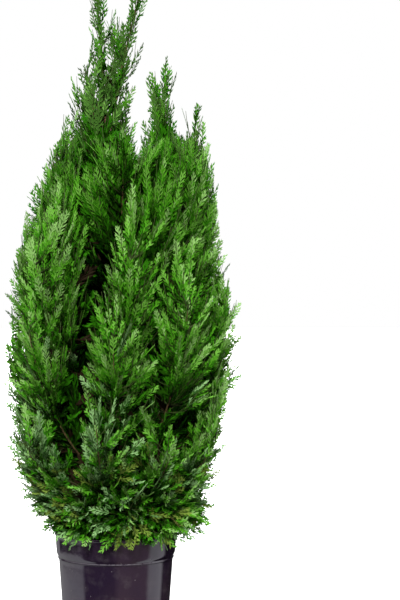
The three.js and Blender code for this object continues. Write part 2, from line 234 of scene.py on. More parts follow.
def drilled(piece, circle, radius, count, depth):
    """Cuts round holes, spread on a circle, upright through a piece's base."""
    drill = bmesh.new()
    for i in range(count):
        turn = (i + 0.5) / count * 2 * math.pi
        place = (circle * math.cos(turn), circle * math.sin(turn), 0)
        sizes = {"segments": DRAIN_SIDES, "radius1": radius, "radius2": radius, "depth": depth}
        made = bmesh.ops.create_cone(drill, cap_ends=True, **sizes)
        bmesh.ops.translate(drill, verts=made["verts"], vec=place)
    mesh = bpy.data.meshes.new("drill")
    drill.to_mesh(mesh)
    drill.free()
    cutter = bpy.data.objects.new("drill", mesh)
    bpy.context.scene.collection.objects.link(cutter)
    cut = piece.modifiers.new("drains", "BOOLEAN")
    cut.operation = "DIFFERENCE"
    cut.object = cutter
    depsgraph = bpy.context.evaluated_depsgraph_get()
    bored = bpy.data.meshes.new_from_object(piece.evaluated_get(depsgraph))
    piece.modifiers.clear()
    piece.data = bored
    bpy.data.objects.remove(cutter)


def pot_finish():
    """Glossy plastic: purple-black clouded a little with brown, smudges, fine dust and moulding ripple."""
    material, shader, wire = new_finish("pot_plastic", Specular_IOR_Level=0.5)
    place = wire.node("TexCoord", {}, {}, output=3)
    cloud = place.noise(scale=9.0, detail=3.0)
    smudge = place.noise(scale=38.0, detail=5.0, roughness=0.7)
    speck = wire.node("TexVoronoi", {}, {"Vector": place, "Scale": 130.0})
    lot = place.noise(scale=70.0, detail=1.0)
    ripple = place.noise(scale=55.0, detail=2.0)
    dust = (speck < 0.12) * (lot > 0.62)
    haze = smudge.between(0.52, 0.8) * HAZE_COVER
    plastic = cloud.between(0.35, 0.7).mixed(POT_PURPLE, POT_BROWN)
    colour = (dust * DUST_COVER + haze).mixed(plastic, DUST)
    rough = POT_ROUGH["clean"] + smudge.between(0.4, 0.8) * POT_ROUGH["smudged"] + dust * POT_ROUGH["dusty"]
    bump = ripple.bump(strength=0.05, distance=0.002)
    feed(shader, Base_Color=colour, Roughness=rough, Normal=bump)
    return material


pot_outline = rounded([
    (0, 0, 0),
    (BODY_FOOT_RADIUS - FOOT_CHAMFER, 0, FOOT_ROUND),
    (BODY_FOOT_RADIUS, FOOT_CHAMFER, FOOT_ROUND),
    *((BODY_TOP_RADIUS + proud * BEAD_PROUD, BAND_FOOT + rise * BEAD_HEIGHT, rounding)
      for proud, rise, rounding in BEAD_CORNERS),
    (BAND_FOOT_RADIUS, BAND_FOOT + BAND_TURN, BAND_ROUND),
    (RIM_RADIUS - LIP_PROUD, POT_HEIGHT - LIP_HEIGHT, LIP_ROUNDS[0]),
    (RIM_RADIUS, POT_HEIGHT - LIP_HEIGHT + LIP_PROUD, LIP_ROUNDS[1]),
    (RIM_RADIUS, POT_HEIGHT, LIP_ROUNDS[2]),
    (RIM_RADIUS - LIP_PROUD - POT_WALL, POT_HEIGHT, LIP_ROUNDS[3]),
    (BAND_FOOT_RADIUS - POT_WALL, BAND_FOOT + BAND_TURN, INSIDE_ROUND),
    (BODY_TOP_RADIUS - POT_WALL, BAND_FOOT, INSIDE_ROUND),
    (BODY_FOOT_RADIUS - POT_WALL, POT_WALL, INSIDE_ROUND),
    (0, POT_WALL, 0),
])
pot = lathed("nursery_pot", pot_outline, POT_SEGMENTS, pot_finish())
drilled(pot, DRAIN_CIRCLE, DRAIN_RADIUS, DRAIN_COUNT, 4 * POT_WALL)
pot.data.set_sharp_from_angle(angle=POT_CREASE)
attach(pot, "root")
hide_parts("pot")


# Compost: moist potting compost that fills the pot to a little under its rim.
# It is crumbly, mounded a little to the stem, with loose crumbs on its surface.
compost_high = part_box("compost")[1]
COMPOST_RADIUS = compost_high.x - 0.0006
COMPOST_EDGE = compost_high.z - 0.005
COMPOST_FLAT = 0.6 * RIM_RADIUS
COMPOST_ROUGH = 0.0022
COMPOST_RINGS = 40
COMPOST_SPOKES = 144
# Waves of the surface: radians for each metre along X and Y, and shares of their height
LUMP_WAVES = (310, 270)
LUMP_SHIFT = 1.7
CLOD_WAVES = (830, -610)
GRIT_WAVES = (900, 1500)
CLOD_SHARE = 0.7
GRIT_SHARE = 0.5
WAVE_SHARE = 0.45
CRUMB_COUNT = 420
CRUMB_SPREAD = 0.96
CRUMB_SIZES = (0.0012, 0.0036)
CRUMB_STRETCHES = (0.6, 1.2)
CRUMB_BUMPS = (0.75, 1.15)
SOIL_DARK = (0.012, 0.0065, 0.004)
SOIL_RED = (0.060, 0.030, 0.016)
seeded = np.random.default_rng(7)


def soil_height(x, y):
    """The surface of the compost: a low mound with waves of several sizes."""
    mound = np.clip((COMPOST_RADIUS - np.hypot(x, y)) / (COMPOST_RADIUS - COMPOST_FLAT), 0, 1)
    lumps = np.sin(LUMP_WAVES[0] * x + LUMP_SHIFT) * np.sin(LUMP_WAVES[1] * y)
    clods = CLOD_SHARE * np.sin(CLOD_WAVES[0] * x + CLOD_WAVES[1] * y)
    grit = GRIT_SHARE * np.sin(GRIT_WAVES[0] * x + GRIT_WAVES[1] * y)
    smooth = COMPOST_EDGE - COMPOST_ROUGH + (compost_high.z - COMPOST_EDGE) * mound
    return smooth + COMPOST_ROUGH * WAVE_SHARE * (lumps + clods + grit)


def compost_finish():
    """Dark soil with reddish fibre, all grain."""
    material, shader, wire = new_finish("compost", Specular_IOR_Level=0.25)
    place = wire.node("TexCoord", {}, {}, output=3)
    grain = place.noise(scale=260.0, detail=6.0, roughness=0.7)
    clod = wire.node("TexVoronoi", {}, {"Vector": place, "Scale": 190.0})
    colour = grain.between(0.35, 0.7).mixed(SOIL_DARK, SOIL_RED)
    bump = (grain + clod).bump(strength=0.9, distance=0.003)
    feed(shader, Base_Color=colour, Roughness=0.8 + grain * 0.2, Normal=bump)
    return material


spread = np.linspace(0, 1, COMPOST_RINGS)[:, None] * COMPOST_RADIUS
turns = around(COMPOST_SPOKES)
soil_x, soil_y = spread * np.cos(turns), spread * np.sin(turns)
soil_places = np.stack([soil_x, soil_y, soil_height(soil_x, soil_y)], axis=-1).reshape(-1, 3)
soil_quads = ring_quads(COMPOST_RINGS, COMPOST_SPOKES)
soil_faces = np.concatenate([soil_quads[:, [0, 3, 2]], soil_quads[COMPOST_SPOKES:, [0, 2, 1]]])

lump = bmesh.new()
bmesh.ops.create_icosphere(lump, subdivisions=1, radius=1)
lump_places = np.array([v.co for v in lump.verts])
lump_faces = np.array([[v.index for v in f.verts] for f in lump.faces])
lump.free()
crumb_turn = seeded.uniform(0, 2 * math.pi, CRUMB_COUNT)
crumb_spread = COMPOST_RADIUS * CRUMB_SPREAD * np.sqrt(seeded.uniform(0, 1, CRUMB_COUNT))
crumb_x, crumb_y = crumb_spread * np.cos(crumb_turn), crumb_spread * np.sin(crumb_turn)
crumb_seat = np.stack([crumb_x, crumb_y, soil_height(crumb_x, crumb_y)], axis=-1)
crumb_size = seeded.uniform(*CRUMB_SIZES, (CRUMB_COUNT, 1, 1))
crumb_size = crumb_size * seeded.uniform(*CRUMB_STRETCHES, (CRUMB_COUNT, 1, 3))
crumb_bumps = seeded.uniform(*CRUMB_BUMPS, (CRUMB_COUNT, len(lump_places), 1))
crumbs = crumb_seat[:, None] + lump_places * crumb_bumps * crumb_size
crumb_faces = lump_faces + np.arange(CRUMB_COUNT)[:, None, None] * len(lump_places) + len(soil_places)
compost = new_piece(
    "potting_compost",
    np.concatenate([soil_places, crumbs.reshape(-1, 3)]),
    np.concatenate([soil_faces, crumb_faces.reshape(-1, 3)]),
    compost_finish(),
)
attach(compost, "root")
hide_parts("compost")


# Trunk and leaders: the woody stem with its root flare, and the four upright limbs that share its top.
# Red-brown bark peels in narrow upright strips. Each leader grows out of the trunk, its foot in the wood.
trunk_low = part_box("trunk")[0]
UP = np.array([0.0, 0.0, 1.0])
TRUNK_FOOT = np.array([0.0, 0.0, trunk_low.z])
TRUNK_TURN = math.radians(186)
TRUNK_LEAN = 0.036
TRUNK_BOW = (0, 0.5)
CROWN_HEIGHT = 1.012
TRUNK_RADIUS = 0.011
FLARE_RADIUS = 0.016
FLARE_SHARE = 0.03
TRUNK_TIP_RADIUS = 0.002
TRUNK_END = 0.8
LEADER_RADIUS = 0.006
LEADER_SHARE = 0.66
LEADER_TIP_RADIUS = 0.0018
FORKED = (0.3, 0.5)
TALL = (0.77, 0.38)
LEADERS = {
    "fork": dict(at=0.68, turn=-8, reach=0.066, rise=0.318, bow=FORKED, end=0.5, belly=0.044),
    "second": dict(at=0.07, turn=8, reach=0.092, rise=0.800, bow=TALL, end=0.6, belly=0.058),
    "third": dict(at=0.05, turn=-22, reach=0.160, rise=0.728, bow=TALL, end=0.6, belly=0.060),
    "back": dict(at=0.08, turn=118, reach=0.104, rise=0.720, bow=TALL, end=0.6, belly=0.066),
}
LENGTH_POINTS = 33
BARK_RELIEF = 0.16
BARK_SIDES = 28
BARK_STEP = 0.006
BARK_SEEDS = {"trunk": 1.3, "leaders": 2.1}
# The strips of bark: how they drift with height, how many go round, and where they end
DRIFT_WAVES = (23, 61)
DRIFT_SHARES = (0.6, 0.4)
STRIP_WAVES = (3.5, 6)
FINE_STRIPS = 0.6
FINE_DRIFT = 1.4
END_WAVES = 190
END_SHARE = 0.35
END_SWAY = 5
RELIEF_MIDDLE = 0.9
BARK_DARK = (0.030, 0.014, 0.009)
BARK_RED = (0.150, 0.062, 0.034)
BARK_GREY = (0.190, 0.130, 0.095)


def unit(vector):
    return vector / np.linalg.norm(vector)


class BentLine:
    """A line from its foot to its tip that bends once, drawn towards a control point."""

    def __init__(self, foot, bend, tip):
        self.foot = foot
        self.bend = bend
        self.tip = tip

    def at(self, t):
        t = np.asarray(t)[..., None]
        return (1 - t) ** 2 * self.foot + 2 * t * (1 - t) * self.bend + t * t * self.tip

    def ahead(self, t):
        return unit((1 - t) * (self.bend - self.foot) + t * (self.tip - self.bend))


class Limb(BentLine):
    """A limb's line: it bends in one upright plane, out along its azimuth and up from its foot.
    The bow places the bend's control point, in shares of the reach and the rise."""

    def __init__(self, foot, azimuth, reach, rise, bow):
        out = np.array([math.cos(azimuth), math.sin(azimuth), 0.0])
        bend = foot + out * reach * bow[0] + UP * rise * bow[1]
        super().__init__(foot, bend, foot + out * reach + UP * rise)
        self.side = np.cross(UP, out)

    def lift(self, t):
        """Square to the limb, on its outer side."""
        return np.cross(self.side, self.ahead(t))

    def length(self, start=0.0, end=1.0):
        steps = np.diff(self.at(np.linspace(start, end, LENGTH_POINTS)), axis=0)
        return np.linalg.norm(steps, axis=1).sum()


def tube(centres, across, lifts, radii):
    """Places and triangles of a closed tube: a ring of radii round each centre, with pointed ends."""
    count, sides = radii.shape
    turns = around(sides)[:, None]
    rings = across[:, None] * np.cos(turns) + lifts[:, None] * np.sin(turns)
    places = (centres[:, None] + rings * radii[..., None]).reshape(-1, 3)
    quads = ring_quads(count, sides)
    ring = np.arange(sides)
    after = (ring + 1) % sides
    last = (count - 1) * sides
    start_cap = np.stack([after, ring, np.full(sides, len(places))], axis=-1)
    end_cap = np.stack([last + ring, last + after, np.full(sides, len(places) + 1)], axis=-1)
    faces = np.concatenate([quads[:, [0, 1, 2]], quads[:, [0, 2, 3]], start_cap, end_cap])
    return np.concatenate([places, centres[[0, -1]]]), faces


def limb_tube(limb, start, end, radius_at, sides, steps, relief=None):
    """A tapering tube along a limb. The relief gives each place's swelling by its turn and height."""
    shares = np.linspace(start, end, steps + 1)
    radii = np.array([radius_at(t) for t in shares])[:, None] * np.ones(sides)
    centres = limb.at(shares)
    if relief:
        radii = radii * (1 + relief(around(sides), centres[:, 2, None]))
    across = np.tile(limb.side, (steps + 1, 1))
    lifts = np.array([limb.lift(t) for t in shares])
    return tube(centres, across, lifts, radii)


def peeling(seed):
    """The relief of bark that splits into upright strips, each with its own edge and end."""
    def relief(turn, height):
        slow, quick = (wave * height for wave in DRIFT_WAVES)
        drift = DRIFT_SHARES[0] * np.sin(slow + seed) + DRIFT_SHARES[1] * np.sin(quick + 2 * seed)
        fine = FINE_STRIPS * np.abs(np.sin(STRIP_WAVES[1] * turn - FINE_DRIFT * drift + seed))
        strips = np.abs(np.sin(STRIP_WAVES[0] * turn + drift)) + fine
        ends = END_SHARE * np.sin(END_WAVES * height + END_SWAY * np.sin(2 * turn + seed))
        return BARK_RELIEF * (strips + ends - RELIEF_MIDDLE)
    return relief


def bark_finish(name, dark, red, grey):
    """Fibrous bark: dark furrows, red-brown strips and greyed faces, streaked along the stem."""
    material, shader, wire = new_finish(name, Specular_IOR_Level=0.3)
    place = wire.node("TexCoord", {}, {}, output=3)
    drawn = wire.node("Mapping", {}, {"Vector": place, "Scale": (1.0, 1.0, 0.12)})
    fibre = drawn.noise(scale=420.0, detail=5.0, roughness=0.65)
    patch = place.noise(scale=45.0, detail=3.0)
    colour = fibre.between(0.36, 0.6).mixed(dark, patch.between(0.45, 0.65).mixed(red, grey))
    bump = fibre.bump(strength=0.8, distance=0.002)
    feed(shader, Base_Color=colour, Roughness=0.72 + fibre * 0.25, Normal=bump)
    return material


def trunk_radius(t):
    flare = max(0.0, 1 - t / FLARE_SHARE) ** 2
    taper = (TRUNK_TIP_RADIUS - TRUNK_RADIUS) * t / TRUNK_END
    return TRUNK_RADIUS + taper + (FLARE_RADIUS - TRUNK_RADIUS) * flare


def leader_radius(leader, t):
    foot_radius = min(LEADER_RADIUS, LEADER_SHARE * trunk_radius(leader["at"]))
    return foot_radius + (LEADER_TIP_RADIUS - foot_radius) * t / leader["end"]


bark = bark_finish("bark", BARK_DARK, BARK_RED, BARK_GREY)
trunk_line = Limb(TRUNK_FOOT, TRUNK_TURN, TRUNK_LEAN, CROWN_HEIGHT, TRUNK_BOW)
leader_lines = {}
for name, leader in LEADERS.items():
    foot, azimuth = trunk_line.at(leader["at"]), math.radians(leader["turn"])
    leader_lines[name] = Limb(foot, azimuth, leader["reach"], leader["rise"], leader["bow"])


def bark_limb(name, limb, end, radius_at, node, seed):
    steps = round(limb.length(0, end) / BARK_STEP)
    places, faces = limb_tube(limb, 0, end, radius_at, BARK_SIDES, steps, peeling(seed))
    piece = new_piece(name, places, faces, bark, smooth=True)
    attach(piece, "root")
    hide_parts(node)


bark_limb("trunk_bark", trunk_line, TRUNK_END, trunk_radius, "trunk", BARK_SEEDS["trunk"])
for i, (name, leader) in enumerate(LEADERS.items()):
    bark_limb(
        "leader_" + name + "_bark", leader_lines[name], leader["end"],
        lambda t, leader=leader: leader_radius(leader, t), "leader_" + name, BARK_SEEDS["leaders"] + i,
    )


# Boughs: the stems of the plumes, in rings round the trunk, at the leaders' sides and on from every tip.
# They are thin and woody, sweep out and then up, and those over the rim arch down. All grow from the wood.
ARCHED = (0.55, 4.2)
SWEPT = (0.82, 0.28)
RINGS = {
    "skirt": dict(count=9, at=0.012, reach=0.166, rise=0.022, belly=0.070, turn=0, bow=ARCHED),
    "low": dict(count=9, at=0.04, reach=0.200, rise=0.185, belly=0.084, turn=20, bow=SWEPT),
    "middle": dict(count=8, at=0.09, reach=0.214, rise=0.335, belly=0.090, turn=0, bow=SWEPT),
    "shoulder": dict(count=7, at=0.18, reach=0.194, rise=0.420, belly=0.088, turn=72, bow=SWEPT),
    "upper": dict(count=4, at=0.38, reach=0.120, rise=0.370, belly=0.080, turn=105, bow=SWEPT),
    "top": dict(count=4, at=0.56, reach=0.058, rise=0.310, belly=0.060, turn=60, bow=SWEPT),
}
TIERS = ["skirt", "low", "middle", "shoulder", "spires"]
LEADER_ROOM = 0.75
AZIMUTH_JITTER = math.radians(5)
SIZE_JITTER = 0.06
SIDE_TURNS = {"second": (-62, 78), "third": (-72, 24), "back": (-75, 62)}
SIDE_PLUME = dict(at=0.36, step=0.1, reach=0.070, rise=0.290, belly=0.066)
CHANCE_WAVES = (127.1, 311.7)
CHANCE_SHIFT = 74.7
CHANCE_SCATTER = 43758.5453
GAP_POINTS = 25
END_POINTS = 41
BOUGH_RADIUS = 0.0026
BOUGH_TIP_RADIUS = 0.0005
BOUGH_END = 0.97
BOUGH_SIDES = 7
BOUGH_STEPS = 16
BOUGH_DARK = (0.014, 0.010, 0.005)
BOUGH_BROWN = (0.052, 0.030, 0.014)
BOUGH_OLIVE = (0.060, 0.050, 0.018)
# Outlines of the crown, of the cone on it, of the other spires and of the notch between:
# heights, and the middles and half widths there
OUTLINES = {
    "crown": np.array([
        [0.10, 0.22, 0.29, 0.37, 0.44, 0.52, 0.62, 0.70, 0.77, 0.84, 0.92],
        [0.012, 0.014, 0.000, 0.002, 0.002, 0.012, 0.012, 0.006, 0.010, 0.016, 0.028],
        [0.140, 0.160, 0.180, 0.193, 0.201, 0.207, 0.201, 0.188, 0.175, 0.160, 0.132],
    ]),
    "cone": np.array([
        [0.80, 0.93, 0.96, 1.00, 1.06, 1.10, 1.14, 1.20],
        [-0.020, -0.034, -0.031, -0.029, -0.019, -0.010, -0.002, 0.004],
        [0.080, 0.070, 0.064, 0.056, 0.048, 0.042, 0.038, 0.036],
    ]),
    "second": np.array([
        [0.90, 0.933, 0.988, 1.025, 1.05],
        [0.082, 0.081, 0.080, 0.082, 0.082],
        [0.036, 0.030, 0.020, 0.010, 0.006],
    ]),
    "second_twin": np.array([[1.00, 1.05], [0.071, 0.073], [0.005, 0.003]]),
    "third": np.array([[0.87, 0.933, 0.97], [0.140, 0.143, 0.152], [0.034, 0.026, 0.008]]),
    "third_twin": np.array([[0.90, 0.95], [0.117, 0.117], [0.005, 0.003]]),
    "roof": np.array([[0.86, 0.95], [0.03, 0.03], [0.10, 0.09]]),
    "notch": np.array([
        [0.84, 0.90, 0.95, 0.99, 1.03, 1.05],
        [0.040, 0.041, 0.041, 0.041, 0.045, 0.046],
        [0.0, 0.009, 0.012, 0.013, 0.016, 0.0],
    ]),
}
CROWN_OPEN = 0.93
SPIRE_RADIUS = 0.034
NOTCH_SLOPE = 2


def chance(a, b):
    """A steady number from 0 to 1 for each pair of whole numbers: a thing's own, and which draw it is."""
    wave = math.sin(a * CHANCE_WAVES[0] + b * CHANCE_WAVES[1] + CHANCE_SHIFT) * CHANCE_SCATTER
    return wave - math.floor(wave)


def jitter(a, b, size):
    return (2 * chance(a, b) - 1) * size


def gap_to_line(limb, place):
    """The distance from a place to a limb's line, measured on short straight stretches of it."""
    points = limb.at(np.linspace(0, 1, GAP_POINTS))
    start, step = points[:-1], np.diff(points, axis=0)
    share = np.clip(((place - start) * step).sum(1) / (step * step).sum(1), 0, 1)
    return np.linalg.norm(start + step * share[:, None] - place, axis=1).min()


def ring_plume(ring, r, i):
    """The line of a ring's plume, where its foliage starts on it and how far that stands out."""
    size = 1 + jitter(r, 3 * i + 1, SIZE_JITTER)
    azimuth = math.radians(ring["turn"] + 360 * i / ring["count"]) + jitter(r, 3 * i, AZIMUTH_JITTER)
    rise = ring["rise"] * (1 + jitter(r, 3 * i + 2, SIZE_JITTER))
    line = Limb(trunk_line.at(ring["at"]), azimuth, ring["reach"] * size, rise, ring["bow"])
    return dict(line=line, start=0.0, belly=ring["belly"] * size)


def has_room(plume):
    gaps = [gap_to_line(line, plume["line"].tip) for line in leader_lines.values()]
    return min(gaps) > LEADER_ROOM * plume["belly"]


plumes = []
for r, (name, ring) in enumerate(RINGS.items()):
    kept = filter(has_room, (ring_plume(ring, r, i) for i in range(ring["count"])))
    for i, plume in enumerate(kept):
        tier = name if name in TIERS else "spires"
        plumes.append(dict(**plume, node=f"foliage_{name}_{i + 1}", tier=tier))
tips = {"trunk": (trunk_line, TRUNK_END, LEADERS["fork"]["belly"])}
for name, leader in LEADERS.items():
    tips[name] = (leader_lines[name], leader["end"], leader["belly"])
for name, (line, end, belly) in tips.items():
    plumes.append(dict(line=line, start=end, belly=belly, node=f"foliage_{name}_tip", tier="spires"))
for name, side_turns in SIDE_TURNS.items():
    for k, turn in enumerate(side_turns):
        foot = leader_lines[name].at(SIDE_PLUME["at"] + SIDE_PLUME["step"] * k)
        azimuth = math.radians(LEADERS[name]["turn"] + turn)
        line = Limb(foot, azimuth, SIDE_PLUME["reach"], SIDE_PLUME["rise"], SWEPT)
        node = f"foliage_{name}_side_{k + 1}"
        plumes.append(dict(line=line, start=0.0, belly=SIDE_PLUME["belly"], node=node, tier="spires"))


def outline_at(outline, height):
    """The middle and the half width of an outline at a height."""
    heights, middles, widths = outline
    return np.interp(height, heights, middles), np.interp(height, heights, widths)


def depth_in_crown(place):
    """How far a place lies inside the crown's outline. Above it, a cone and the leaders' spires stand free,
    with a notch between the cone and the second leader."""
    x, y, z = place
    middle, radius = outline_at(OUTLINES["crown" if z < CROWN_OPEN else "cone"], z)
    depth = radius - math.hypot(x - middle, y)
    if z >= CROWN_OPEN:
        tall = [trunk_line, *leader_lines.values()]
        depth = max(depth, *(SPIRE_RADIUS - gap_to_line(line, np.asarray(place)) for line in tall))
    if OUTLINES["notch"][0, 0] < z < OUTLINES["notch"][0, -1]:
        middle, half_width = outline_at(OUTLINES["notch"], z)
        depth = min(depth, NOTCH_SLOPE * (abs(x - middle) - half_width))
    return depth


for plume in plumes:
    shares = np.linspace(plume["start"], 1, END_POINTS)
    inside = [t for t in shares if depth_in_crown(plume["line"].at(t)) > 0]
    plume["end"] = inside[-1] if len(inside) < len(shares) else 1.0


def along(plume, share):
    """Share of a plume's line, counted from where its foliage starts to where it meets the outline."""
    return plume["start"] + (plume["end"] - plume["start"]) * share


def joined(parts):
    """Places and faces of several meshes as one."""
    starts = np.cumsum([0] + [len(places) for places, faces in parts[:-1]])
    return (
        np.concatenate([places for places, faces in parts]),
        np.concatenate([faces + start for start, (places, faces) in zip(starts, parts)]),
    )


def bough(plume):
    def radius_at(t):
        share = (t - plume["start"]) / (plume["end"] - plume["start"])
        return BOUGH_RADIUS + (BOUGH_TIP_RADIUS - BOUGH_RADIUS) * share
    end = along(plume, BOUGH_END)
    return limb_tube(plume["line"], plume["start"], end, radius_at, BOUGH_SIDES, BOUGH_STEPS)


def nodes_of(tier):
    return [plume["node"] for plume in plumes if plume["tier"] == tier]


young_bark = bark_finish("young_bark", BOUGH_DARK, BOUGH_BROWN, BOUGH_OLIVE)
for tier in TIERS:
    places, faces = joined([bough(plume) for plume in plumes if plume["tier"] == tier])
    piece = new_piece("boughs_" + tier, places, faces, young_bark, smooth=True)
    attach(piece, "root")
    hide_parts(*nodes_of(tier))


# Feathers: the flat, fern-like branches that clothe the boughs and limbs, with a thin twig down each one.
# They leave the wood by the golden share and lean forward along it. Shoots between them fill the outline.
CROWN_RAGGED = 0.014
RAGGED_SHARE = 0.18
LIMB_CLEARANCE = 0.003
TESTED_SHARES = np.linspace(0.3, 1.0, 8)
BARE_SHARE = 0.3
BARE_FOOT = 0.05
FIRST_FEATHER = 0.10
LAST_FEATHER = 0.95
END_FEATHER = (0.72, 0.86, 1)
PLUME_NUMBERS = 1000
LIMB_NUMBERS = 500
END_NUMBER = 999
FEATHER_RATES = {"skirt": 3, "low": 2.5, "middle": 2.5, "shoulder": 2.5, "spires": 5}
FEATHER_REACH = 1.6
FEATHER_LEAN = math.radians(20)
LEAN_JITTER = 0.3
FEATHER_FAN = math.radians(132)
FEATHER_ROLL = 1.4
FEATHER_JITTER = 0.28
FEATHER_FORWARD = 0.4
FEATHER_BEND = 0.5
SWELL_FOOT = 0.28
SWELL_RUN = 0.66
SWELL_FULL = 0.8
GOLDEN_SHARE = 0.618034
FITTED_LEANS = (1, 0.7, 0.4, 0.15)
FITTED_SHARES = (1, 0.8, 0.6)
UPWARD = {"skirt": 0.0, "low": 0.3, "middle": 0.9, "shoulder": 1.1, "spires": 1.0}
# The shoots of each outline: their numbers, heights and depth, and the plumes that they may grow from
SHOOTS = {
    "crown": dict(first=600000, count=5200, heights=(0.178, 0.940), crowding=1.0, depth=0.055,
                  wood=["foliage"]),
    "cone": dict(first=500000, count=130, heights=(0.92, 1.16), crowding=1.6, depth=0.030,
                 wood=["trunk", "fork", "top", "upper"]),
    "second": dict(first=700000, count=46, heights=(0.90, 1.015), crowding=1.2, depth=0.020,
                   wood=["second"]),
    "third": dict(first=800000, count=50, heights=(0.87, 0.965), crowding=1.2, depth=0.020,
                  wood=["third"]),
    "roof": dict(first=400000, count=150, heights=(0.86, 0.945), crowding=1.0, depth=0.090,
                 wood=["foliage"]),
    "second_twin": dict(first=710000, count=5, heights=(1.025, 1.054), crowding=1.0, depth=0.0,
                        wood=["second"]),
    "third_twin": dict(first=810000, count=4, heights=(0.925, 0.948), crowding=1.0, depth=0.0,
                       wood=["third"]),
}
SHOOT_INMOST = 0.3
SHOOT_CROWDING = 1.6
SHOOT_TILT_HEIGHTS = np.array([0.17, 0.24, 0.32, 0.42, 0.60, 0.93])
SHOOT_TILTS = np.radians([114, 86, 58, 34, 20, 8])
TILT_JITTER = 0.25
SHOOT_LENGTHS = (0.080, 0.22)
LOW_ZONE = (0.30, 0.50)
SHOOT_STRAIGHT = ([0.30, 0.50, 0.88], [0.5, 0.74, 0.88])
SHOOT_SLANTS = (0.70, 0.94)
SLANT_COST = 1.4
SHOOT_BARES = (0.5, 0.05)
SHOOT_LEAFY = (0.070, 0.105)
LEAFY_JITTER = 0.3
SHOOT_TURN = 0.6
SHOOT_BOW = 0.72
SHOOT_PROUD = 0.02
WOOD_SPOTS = 24
WOOD_START = 0.25
WOOD_MARGINS = (0.05, 0.02)
TWIG_RADIUS = 0.0010
TWIG_TIP_RADIUS = 0.0004
TWIG_END = 0.9
TWIG_STEPS = 3
TWIG_SIDES = 3
TWIG_BROWN = (0.020, 0.032, 0.007)
# The dark clefts that run down the front of the crown: heights, and the middles and half widths there
CLEFTS = [
    ([0.320, 0.366, 0.430, 0.500, 0.560, 0.640, 0.690, 0.740, 0.800, 0.860, 0.905, 0.935],
     [-0.086, -0.080, -0.068, -0.055, -0.050, -0.034, -0.008, 0.000, 0.016, 0.033, 0.040, 0.041],
     [0.0, 0.026, 0.024, 0.007, 0.004, 0.005, 0.007, 0.005, 0.005, 0.008, 0.009, 0.0]),
    ([0.360, 0.400, 0.485, 0.540], [0.122, 0.117, 0.088, 0.072], [0.0, 0.007, 0.006, 0.0]),
]
CLEFT_DEPTH = 0.070
SKIRT_FOOT = 0.174
SKIRT_LIFT = 0.030


def turned(direction, towards, angle):
    """A direction turned by an angle towards another that is square to it."""
    return direction * math.cos(angle) + towards * math.sin(angle)


def in_crown(place, least):
    """True at a least depth inside the crown's outline, clear of the pot and out of the clefts."""
    x, y, z = place
    depth = depth_in_crown(place)
    if depth < least:
        return False
    radius = math.hypot(x, y)
    if z < POT_HEIGHT + LIMB_CLEARANCE and radius < RIM_RADIUS + LIMB_CLEARANCE:
        return False
    if z < SKIRT_FOOT + SKIRT_LIFT * (x / radius) ** 2:
        return False
    if y < 0 and depth < CLEFT_DEPTH:
        clefts = (outline_at(cleft, z) for cleft in CLEFTS)
        return not any(abs(x - middle) < half_width for middle, half_width in clefts)
    return True


def swell(share):
    """How far a plume's feathers stand out along it: full in the lower half, slimmer to the tip."""
    return math.sin(math.pi * min(1, SWELL_FOOT + SWELL_RUN * share)) ** SWELL_FULL


class Feather(BentLine):
    """One branch: a bent line from its wood, the direction its fronds spread in and where they start."""

    def __init__(self, foot, bend, tip, across, number, bare=BARE_FOOT):
        super().__init__(foot, bend, tip)
        self.across = across
        self.length = np.linalg.norm(tip - foot)
        self.number = number
        self.bare = bare

    def frame(self, t):
        """The heading, the spread direction and the face's direction at a share of the line."""
        heading = self.ahead(t)
        spread = unit(self.across - heading * (self.across @ heading))
        return heading, spread, np.cross(heading, spread)

    def clear(self, least):
        return all(in_crown(place, least) for place in self.at(TESTED_SHARES))

    def fits(self):
        return self.clear(min(0.0, depth_in_crown(self.foot)) + jitter(self.number, 11, CROWN_RAGGED))


def grown_feather(plume, t, radial, length, number):
    """A feather from a share of a plume's line, or nothing where it would leave the crown."""
    root = plume["line"].at(t)
    ahead = unit(plume["line"].ahead(t) + UPWARD[plume["tier"]] * UP)
    radial = unit(radial - ahead * (radial @ ahead))
    flat = np.cross(ahead, radial)
    lean = FEATHER_LEAN * (1 + jitter(number, 3, LEAN_JITTER))
    for leaning, share in itertools.product(FITTED_LEANS, FITTED_SHARES):
        direction = turned(ahead, radial, leaning * lean)
        across = turned(flat, np.cross(flat, direction), jitter(number, 1, FEATHER_ROLL))
        forward = unit(direction * (1 - FEATHER_FORWARD) + ahead * FEATHER_FORWARD)
        fitted = share * length
        bend = root + direction * FEATHER_BEND * fitted
        feather = Feather(root, bend, root + forward * fitted, across, number)
        if feather.fits():
            return feather
    return None


def feathers_on(plume, stretch, fan, number):
    """Feathers along a stretch of a plume's line, dealt round its outer side."""
    line = plume["line"]
    count = round(FEATHER_RATES[plume["tier"]] * line.length(*stretch) / plume["belly"])
    for k in range(count):
        t = stretch[0] + (stretch[1] - stretch[0]) * (k + 0.5) / count
        turn = fan * (2 * ((k * GOLDEN_SHARE + chance(number, 90)) % 1) - 1)
        radial = turned(line.lift(t), line.side, turn)
        share = max(0.0, (t - plume["start"]) / (plume["end"] - plume["start"]))
        size = FEATHER_REACH * plume["belly"] * swell(share) * (1 + jitter(number + k, 2, FEATHER_JITTER))
        feather = grown_feather(plume, t, radial, size, number + k)
        if feather:
            yield feather


def last_feather(plume, number):
    """The feather that ends a plume, along the last of its line."""
    line = plume["line"]
    start, middle, end = (along(plume, share) for share in END_FEATHER)
    across = turned(line.side, line.lift(middle), math.pi * chance(number, 91))
    return Feather(line.at(start), line.at(middle), line.at(end), across, number)


